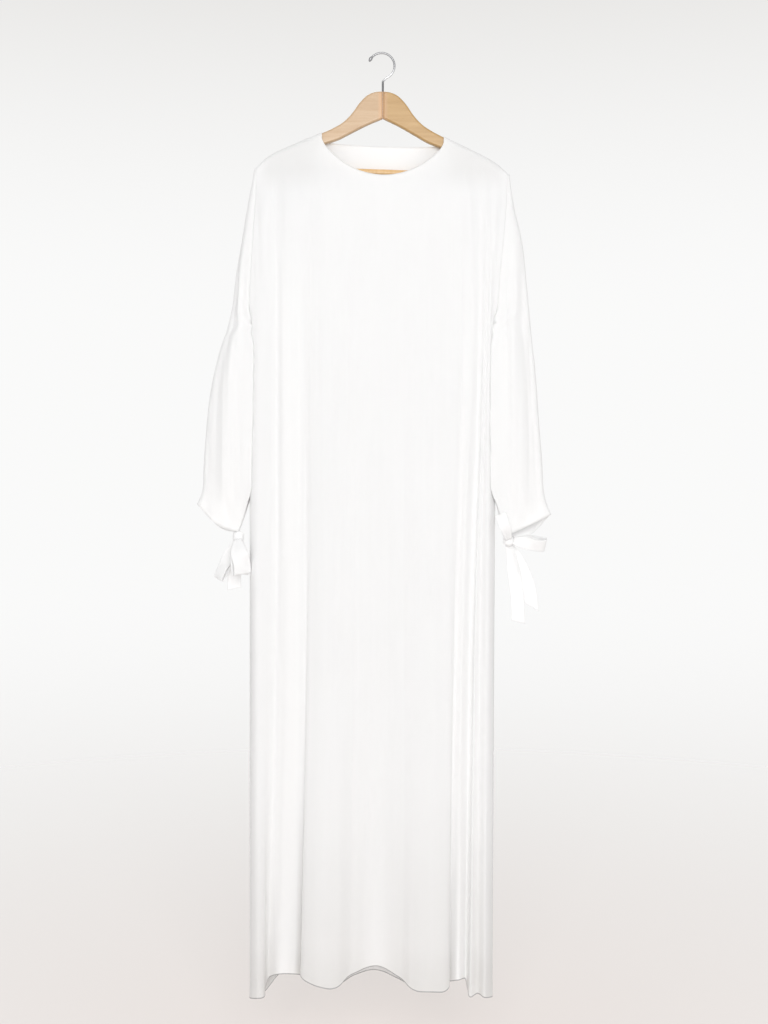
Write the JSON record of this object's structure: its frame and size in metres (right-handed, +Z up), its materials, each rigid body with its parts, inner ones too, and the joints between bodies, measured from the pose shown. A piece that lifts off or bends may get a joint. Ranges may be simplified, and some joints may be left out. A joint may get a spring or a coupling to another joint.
{
  "type": "abaya on a coat hanger",
  "caption": "Long loose pullover abaya with a round neck and long sleeves tied at the cuffs, hung flat on a wooden coat hanger with a steel hook and a trouser bar.",
  "frame": {"origin": "the hook's inner surface, where a rail or peg carries it, straight above the middle of the hanger", "axes": "+X to the viewer's right, -Y toward the viewer, out of the garment's front, +Z up"},
  "size_m": [0.6313, 0.0807, 1.6887],
  "materials": {
    "cloth": "matte off-white woven crepe",
    "wood": "clear satin varnish on light beech",
    "steel": "polished"
  },
  "bodies": {
    "root": {"front_panel": "cloth", "back_panel": "cloth", "sleeve_left": "cloth", "sleeve_right": "cloth", "tie_left_knot": "cloth", "tie_left_loop_inner": "cloth", "tie_left_loop_outer": "cloth", "tie_left_tail_front": "cloth", "tie_left_tail_back": "cloth", "tie_right_knot": "cloth", "tie_right_loop_inner": "cloth", "tie_right_loop_outer": "cloth", "tie_right_tail_front": "cloth", "tie_right_tail_back": "cloth", "hanger_arm_left": "wood", "hanger_arm_right": "wood", "hanger_bar": "wood", "hanger_hook": "steel"}
  },
  "joints": []
}
